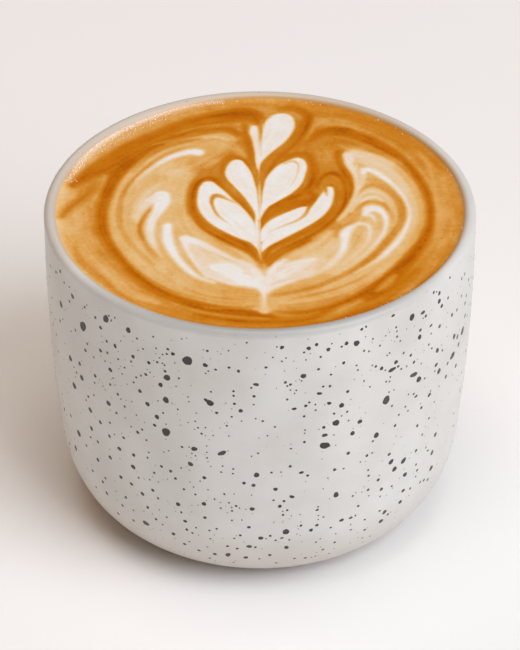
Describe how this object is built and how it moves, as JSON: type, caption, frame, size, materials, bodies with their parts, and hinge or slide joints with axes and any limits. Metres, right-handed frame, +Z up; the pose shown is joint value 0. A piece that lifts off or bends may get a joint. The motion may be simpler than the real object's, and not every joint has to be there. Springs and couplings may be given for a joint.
{
  "type": "cup of cappuccino",
  "caption": "Handleless stoneware cup with a rounded foot and a plain lip, filled nearly to the brim with cappuccino that bears a poured milk leaf.",
  "frame": {"origin": "centre of the foot, on the surface that the cup stands on", "axes": "+Z up along the cup's axis; the milk leaf's tip points to +Y and its stem to -Y"},
  "size_m": [0.0852, 0.0852, 0.0676],
  "materials": {
    "speckled_glaze": "white satin glaze over stoneware, with dark iron speckles",
    "crema_and_milk": "orange-brown coffee crema with a leaf and swirls of white milk foam"
  },
  "bodies": {
    "root": {"cup": "speckled_glaze", "cappuccino": "crema_and_milk"}
  },
  "joints": []
}
